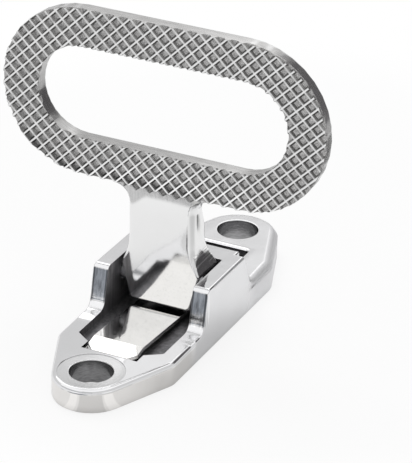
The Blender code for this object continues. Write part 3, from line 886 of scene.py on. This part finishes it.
    def ridge(self, x: Socket, across: Socket, way: float, edge: Edge) -> Socket:
        """Mask of the tread's ridges that run one way.

        Args:
            x: Place across the step.
            across: Place up, from the loop's middle.
            way: 1 for ridges that fall to the right, -1 for ridges that rise.
            edge: Edge of the mask, as a share of the pitch from the ridge's crest.

        Returns:
            The mask, 1 on the ridges.
        """
        row = (across + (x - self.row_shift) * way) * (math.sqrt(0.5) / self.pit_pitch)
        return abs(row.fraction() - 0.5).below(edge)


@dataclass(frozen=True)
class LinedFinish(Finish):
    """Steel with fine lines one way. Lengths in mm."""

    metal: MetalLook
    lines: Pattern
    cloud: Pattern
    corners: PaintedCornerShade
    edge_round: float

    def skin(self, tree: Tree, place: Socket) -> Skin:
        """Work out the surface.

        Args:
            tree: The material's tree.
            place: Place on the piece in mm.

        Returns:
            The surface's colour, grey, gloss and height.
        """
        lines, cloud = self.lines.on(tree, place), self.cloud.on(tree, place)
        # The grey is multiplied below by painted shade in corners
        grey = 1.0 + cloud.swing(self.cloud.grey) + lines.swing(self.lines.grey)
        return Skin(colour=self.metal.colour,
                    grey=grey * self.corners.shade(tree),
                    gloss=self.metal.roughness + self.lines.gloss * lines + self.cloud.gloss * cloud,
                    height=self.lines.height * lines + self.cloud.height * cloud)


@dataclass(frozen=True)
class LeafFinish(LinedFinish):
    """Rolled spring steel, with a slight slope added on its lip."""

    metal: MetalLook = MetalLook((0.875, 0.865, 0.845), 0.025)
    lines: Pattern = Pattern(3.0, 4.0, Axis.ALONG_Y.value, grey=0.04, gloss=0.03, height=0.003)
    cloud: Pattern = Pattern(0.25, 3.0, grey=0.06, gloss=0.02, height=0.006)
    corners: PaintedCornerShade = PaintedCornerShade(1.5, 0.15)
    edge_round: float = 0.12
    lip_y: float = -33.45
    lip_lift: float = -0.13

    def skin(self, tree: Tree, place: Socket) -> Skin:
        """Work out the surface, with the slope on the lip.

        Args:
            tree: The material's tree.
            place: Place on the piece in mm.

        Returns:
            The surface's colour, grey, gloss and height.
        """
        skin = super().skin(tree, place)
        _, y, _ = tree.split(place)
        lip = (y - self.lip_y).at_most(0.0)
        return replace(skin, height=skin.height + lip * self.lip_lift)


@dataclass(frozen=True)
class PinFinish(LinedFinish):
    """Ground steel of the pin."""

    metal: MetalLook = MetalLook((0.62, 0.62, 0.64), 0.22)
    lines: Pattern = Pattern(3.0, 4.0, Axis.ALONG_X.value, grey=0.06, gloss=0.08, height=0.02)
    cloud: Pattern = Pattern(0.25, 3.0, grey=0.08, gloss=0.05, height=0.04)
    corners: PaintedCornerShade = PaintedCornerShade(1.5, 0.30)
    edge_round: float = 0.15


# Pieces


@dataclass
class Piece:
    """One piece of the step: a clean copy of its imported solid, with its finish.

    The weld distance is in metres. Angles are in degrees: edges flatter than the flat angle are merged
    away, and those over the sharp angle are kept sharp. Where smoothly joined faces round a corner differ
    by more than the wide angle, the shading is split at every edge over the slight angle.
    """

    node: str
    body: Body
    slot: Slot
    finish: Finish
    weld: float = 0.002 * MM
    flat_angle: float = 0.3
    sharp_angle: float = 28.0
    wide_angle: float = 62.0
    slight_angle: float = 6.0
    normal_weight: int = 80
    made: bpy.types.Object | None = field(default=None, init=False)

    def build(self, solids: Mapping[str, bpy.types.Object]) -> None:
        """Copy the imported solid, weld it, merge its flat faces and shade its round ones smooth.

        Args:
            solids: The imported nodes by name.
        """
        name = f"{self.node}_shown"
        work = bmesh.new()
        work.from_mesh(solids[self.node].data)
        bmesh.ops.remove_doubles(work, verts=work.verts, dist=self.weld)
        bmesh.ops.dissolve_degenerate(work, edges=work.edges, dist=self.weld)
        bmesh.ops.dissolve_limit(work, angle_limit=math.radians(self.flat_angle), verts=work.verts,
                                 edges=work.edges)
        for face in work.faces:
            face.smooth = True
        self.mark_sharp(work)
        mesh = bpy.data.meshes.new(name)
        work.to_mesh(mesh)
        work.free()
        self.made = bpy.data.objects.new(name, mesh)
        bpy.context.scene.collection.objects.link(self.made)
        even = self.made.modifiers.new("even_normals", "WEIGHTED_NORMAL")
        even.keep_sharp = True
        even.weight = self.normal_weight

    def mark_sharp(self, work: bmesh.types.BMesh) -> None:
        """Mark sharp edges, and split a corner's shading where an edge's rounding runs out in it.

        Args:
            work: The welded copy.
        """
        angles = (self.sharp_angle, self.wide_angle, self.slight_angle)
        sharp, wide, slight = (math.radians(angle) for angle in angles)
        for edge in work.edges:
            edge.smooth = edge.calc_face_angle(math.pi) < sharp
        for vert in work.verts:
            left = set(vert.link_faces)
            while left:
                group = [left.pop()]
                for face in group:
                    for edge in face.edges:
                        if edge.smooth and vert in edge.verts:
                            joined = [other for other in edge.link_faces if other in left]
                            left.difference_update(joined)
                            group.extend(joined)
                if any(a.normal.angle(b.normal, 0.0) > wide for a in group for b in group):
                    for edge in vert.link_edges:
                        if edge.calc_face_angle(0.0) > slight:
                            edge.smooth = False

    def dress(self) -> None:
        """Give the copy its finish and put it in its solid's place on the body."""
        self.made.data.materials.append(self.finish.make(f"{self.slot.value}_finish"))
        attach(self.made, self.body.value)
        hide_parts(self.node)
        LOG.info("%s: %d faces on %s", self.made.name, len(self.made.data.polygons), self.body.value)


@dataclass
class Base:
    """The base that is bolted down: casting, leaf spring and pin."""

    casting: Piece = field(default_factory=lambda: Piece("base_casting", Body.BASE, Slot.BASE, BaseFinish()))
    leaf: Piece = field(default_factory=lambda: Piece("leaf_spring", Body.BASE, Slot.LEAF, LeafFinish()))
    pin: Piece = field(default_factory=lambda: Piece("pivot_pin", Body.BASE, Slot.PIN, PinFinish()))

    def build(self, solids: Mapping[str, bpy.types.Object]) -> None:
        """Build the three pieces.

        Args:
            solids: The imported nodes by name.
        """
        for piece in (self.casting, self.leaf, self.pin):
            piece.build(solids)

    def dress(self) -> None:
        """Dress the three pieces."""
        for piece in (self.casting, self.leaf, self.pin):
            piece.dress()


@dataclass
class Arm:
    """The folding arm with its tread loop."""

    casting: Piece = field(default_factory=lambda: Piece("step_arm", Body.STEP, Slot.ARM, ArmFinish()))

    def build(self, solids: Mapping[str, bpy.types.Object]) -> None:
        """Build the arm.

        Args:
            solids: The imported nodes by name.
        """
        self.casting.build(solids)

    def dress(self) -> None:
        """Dress the arm."""
        self.casting.dress()


# Studio


@dataclass(frozen=True)
class Dusk:
    """A darker area of the table that only metal mirrors.

    Each side is the turn of the direction that crosses it, in degrees, and how far out it lies, in metres.
    """

    sides: tuple[tuple[float, float], ...]
    softness: float
    level: float

    def mask(self, x: Socket, y: Socket) -> Socket:
        """Mask of the area, which lies beyond all its straight sides.

        Args:
            x: Place across.
            y: Place along.

        Returns:
            The mask, 1 in the area.
        """
        inside = []
        for turn, start in self.sides:
            reach = x * math.cos(math.radians(turn)) + y * math.sin(math.radians(turn))
            inside.append(reach.above(Edge(start, self.softness)))
        return math.prod(inside[1:], start=inside[0])


@dataclass(frozen=True)
class Sheet:
    """A sector of the table round the front hole that metal mirrors at its own level. Angles in degrees."""

    turn: float
    half: float
    level: float
    softness: float = 1.5

    def mask(self, angle: Socket) -> Socket:
        """Mask of the sector's angles."""
        return abs(angle - self.turn).below(Edge(self.half, self.softness))


@dataclass(frozen=True)
class Table:
    """Round white table that the step stands on. Lengths in metres, from the step's origin."""

    middle: tuple[float, float] = (0.0, 0.060)
    radius: float = 0.175
    segments: int = 96
    fade_start: float = 0.70
    whiteness: float = 0.90
    own_light: float = 0.80

    # What metal mirrors: less light, two dusky areas, a painted shadow at the step's foot and sheets round
    # the front hole
    mirrored_light: float = 0.40
    dusk: tuple[Dusk, ...] = (Dusk(((57.0, 0.074), (-28.0, 0.0115), (90.0, 0.056)), 0.003, 0.12),
                              Dusk(((-25.0, 0.068),), 0.020, 0.70))
    foot_shadow_x: Edge = Edge(0.0290, 0.0095)
    foot_shadow_y: Span = Span(Edge(-0.040, 0.010), Edge(0.014, 0.020))
    foot_shadow_level: float = 0.70
    hole_y: float = -0.0506
    sheet_edge: Edge = Edge(0.030, 0.006)
    sheets: tuple[Sheet, ...] = (Sheet(-100.0, 9.0, 1.14), Sheet(-23.0, 10.0, 1.14),
                                 Sheet(-62.0, 24.0, 0.80), Sheet(10.0, 22.0, 0.95))

    def build(self) -> bpy.types.Object:
        """Build the table top and its material.

        Returns:
            The table top, marked as stage.
        """
        work = bmesh.new()
        bmesh.ops.create_circle(work, cap_ends=True, segments=self.segments, radius=self.radius)
        mesh = bpy.data.meshes.new("table_top")
        work.to_mesh(mesh)
        work.free()
        top = bpy.data.objects.new("table_top", mesh)
        top.location = (*self.middle, 0.0)
        bpy.context.scene.collection.objects.link(top)
        mesh.materials.append(self.material())
        top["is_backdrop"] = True
        return top

    def material(self) -> bpy.types.Material:
        """White that the camera and the metal see as lit, with the step's shadow kept.

        Returns:
            The material.
        """
        material = bpy.data.materials.new("white_table")
        tree = Tree(material)
        x, y, _ = tree.split(tree.own_place())
        camera, glossy, through = tree.rays()
        out = (x * x + y * y) ** 0.5 / self.radius
        fade = out.above(Edge((1.0 + self.fade_start) / 2, (1.0 - self.fade_start) / 2))
        share = camera * (self.own_light - self.mirrored_light) + self.mirrored_light
        share = (camera + glossy + through).at_most(1.0) * (share + (1.0 - share) * fade)
        tone = 1.0 - glossy * (1.0 - self.mirrored_tone(tree, x + self.middle[0], y + self.middle[1]))
        lit = tree.node("ShaderNodeBsdfDiffuse", None, {"Color": tree.shade((self.whiteness,) * 3, tone)})
        own = tree.node("ShaderNodeEmission", None, {"Color": tree.shade(WHITE, tone), "Strength": 1.0})
        mixed = tree.node("ShaderNodeMixShader", None, {0: share, 1: lit, 2: own})
        tree.finish("ShaderNodeOutputMaterial", mixed)
        return material

    def mirrored_tone(self, tree: Tree, x: Socket, y: Socket) -> Socket:
        """Work out how bright metal mirrors the table.

        Args:
            tree: The material's tree.
            x: Place across, from the step's origin.
            y: Place along, from the step's origin.

        Returns:
            The tone, 1 for the table's own white.
        """
        # Painted shadow on the table at the step's foot, which only metal mirrors
        painted_foot_shadow = abs(x).below(self.foot_shadow_x) * self.foot_shadow_y.mask(y)
        tone = painted_foot_shadow.gain(self.foot_shadow_level - 1.0)
        for area in self.dusk:
            tone = tone * area.mask(x, y).gain(area.level - 1.0)
        ahead = y - self.hole_y
        near = ((x * x + ahead * ahead) ** 0.5).below(self.sheet_edge)
        angle = tree.math("ARCTAN2", ahead, x) * math.degrees(1.0)
        for sheet in self.sheets:
            tone = tone * (near * sheet.mask(angle)).gain(sheet.level - 1.0)
        return tone


@dataclass(frozen=True)
class Softbox:
    """A square lamp that faces the step. Lengths in metres, power in watts."""

    name: str
    place: tuple[float, float, float]
    size: float
    power: float

    def build(self, target: Vector) -> None:
        """Make the lamp.

        Args:
            target: Point that it faces.
        """
        lamp = bpy.data.lights.new(self.name, "AREA")
        lamp.shape = "SQUARE"
        lamp.size = self.size
        lamp.energy = self.power
        made = bpy.data.objects.new(self.name, lamp)
        made.location = self.place
        made.rotation_euler = (target - made.location).to_track_quat("-Z", "Y").to_euler()
        made.visible_glossy = False
        bpy.context.scene.collection.objects.link(made)


@dataclass(frozen=True)
class Card:
    """A flat card that only polished metal mirrors. Angles in degrees, seen from the step."""

    azimuth: float
    elevation: float
    half_width: float
    half_height: float
    level: Colour
    softness: float = 0.06
    front_half: Edge = Edge(0.05, 0.04)

    def mask(self, tree: Tree, ray: Socket) -> Socket:
        """Mask of the directions in which the card stands.

        Args:
            tree: The world's tree.
            ray: Direction of the ray.

        Returns:
            The mask, 1 on the card.
        """
        turn, rise = math.radians(self.azimuth), math.radians(self.elevation)
        ahead = Vector((math.cos(turn) * math.cos(rise), math.sin(turn) * math.cos(rise), math.sin(rise)))
        level = Vector((-math.sin(turn), math.cos(turn), 0.0))
        forward, sideways, upwards = (
            tree.node("ShaderNodeVectorMath", {"operation": "DOT_PRODUCT"}, {0: ray, 1: tuple(axis)}, "Value")
            for axis in (ahead, level, ahead.cross(level)))
        across, over = (abs(part / forward).below(Edge(math.tan(math.radians(half)), self.softness))
                        for part, half in ((sideways, self.half_width), (upwards, self.half_height)))
        return across * over * forward.above(self.front_half)


@dataclass(frozen=True)
class Studio:
    """Soft light: a white room, with cards that give the metal its dark and bright reflections."""

    room_level: float = 0.75
    band: tuple[tuple[float, float], ...] = ((0.00, 0.75), (0.40, 0.80), (0.50, 0.74), (0.73, 0.74),
                                             (0.77, 0.95), (0.81, 1.20), (0.93, 1.15), (1.00, 0.95))
    cards: tuple[Card, ...] = (
        Card(58.0, 10.0, 19.0, 26.0, (0.13, 0.125, 0.13)),
        Card(-105.0, -4.0, 48.0, 8.0, (0.28, 0.30, 0.33), 0.04),
        Card(98.0, 30.0, 12.0, 10.0, (1.10, 1.10, 1.10)),
        Card(-125.0, 43.0, 35.0, 23.0, (1.13, 1.13, 1.13)),
        Card(126.0, 47.0, 20.0, 15.0, (1.90, 1.90, 1.90)),
    )
    lamps: tuple[Softbox, ...] = (Softbox("key_softbox", (-0.35, 0.25, 0.9), 0.7, 2.6),
                                  Softbox("fill_softbox", (0.6, -0.6, 0.6), 0.7, 1.0))
    lamp_target: tuple[float, float, float] = (0.0, 0.0, 0.03)

    def build(self) -> None:
        """Make the world and the lamps."""
        world = bpy.data.worlds.new("studio_room")
        bpy.context.scene.world = world
        tree = Tree(world)
        camera, glossy, through = tree.rays()
        ray = tree.node("ShaderNodeTexCoord", None, None, "Generated")
        _, _, up = tree.split(ray)
        # The ramp runs from straight down at 0 to straight up at 1
        room = tree.node("ShaderNodeValToRGB", {"stops": self.band}, {0: 0.5 + 0.5 * up}, "Color")
        for card in self.cards:
            room = tree.mix(card.mask(tree, ray), room, card.level)
        colour = tree.mix(glossy, (self.room_level,) * 3, room)
        colour = tree.mix(camera.at_least(through), colour, WHITE)
        tree.finish("ShaderNodeOutputWorld",
                    tree.node("ShaderNodeBackground", None, {"Color": colour, "Strength": 1.0}))
        for lamp in self.lamps:
            lamp.build(Vector(self.lamp_target))
        LOG.info("studio: %d cards and %d lamps", len(self.cards), len(self.lamps))


@dataclass(frozen=True)
class PhotoCamera:
    """The photograph's camera. Angles in degrees, lengths in metres, image sizes in pixels, sensor in mm."""

    azimuth: float = 25.34
    elevation: float = 26.86
    roll: float = 1.31
    distance: float = 0.89922
    target: tuple[float, float, float] = (0.0020, 0.02146, 0.02193)
    focal: float = 2895.95
    image: tuple[int, int] = (412, 463)
    sensor: float = 36.0
    clip: tuple[float, float] = (0.01, 20.0)

    def build(self) -> None:
        """Make the camera and set it as the scene's own."""
        azimuth, elevation, roll = (math.radians(v) for v in (self.azimuth, self.elevation, self.roll))
        ahead = Vector((-math.sin(azimuth) * math.cos(elevation), math.cos(azimuth) * math.cos(elevation),
                        -math.sin(elevation)))
        level = Vector((math.cos(azimuth), math.sin(azimuth), 0.0))
        above = level.cross(ahead)
        right = level * math.cos(roll) + above * math.sin(roll)
        up = above * math.cos(roll) - level * math.sin(roll)
        data = bpy.data.cameras.new("photo_camera")
        data.sensor_width = self.sensor
        data.lens = self.sensor * self.focal / max(self.image)
        data.clip_start, data.clip_end = self.clip
        camera = bpy.data.objects.new("photo_camera", data)
        turn = Matrix((right, up, -ahead)).transposed().to_4x4()
        camera.matrix_world = Matrix.Translation(Vector(self.target) - ahead * self.distance) @ turn
        bpy.context.scene.collection.objects.link(camera)
        bpy.context.scene.camera = camera
        LOG.info("camera: lens %.1f mm", data.lens)


def corners() -> list[list[float]]:
    """Lowest and highest corner of what is shown, as plain lists."""
    return [list(corner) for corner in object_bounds()]


def main() -> None:
    """Build the scene in order: frame, pieces, studio and camera."""
    logging.basicConfig(level=logging.INFO, format="%(name)s: %(message)s")
    for obj in list(bpy.data.objects):
        bpy.data.objects.remove(obj, do_unlink=True)
    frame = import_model()
    bpy.context.scene.view_settings.view_transform = "Standard"
    for assembly in (Base(), Arm()):
        assembly.build(frame["nodes"])
        assembly.dress()
    Table().build()
    Studio().build()
    PhotoCamera().build()


if __name__ == "__main__":
    main()
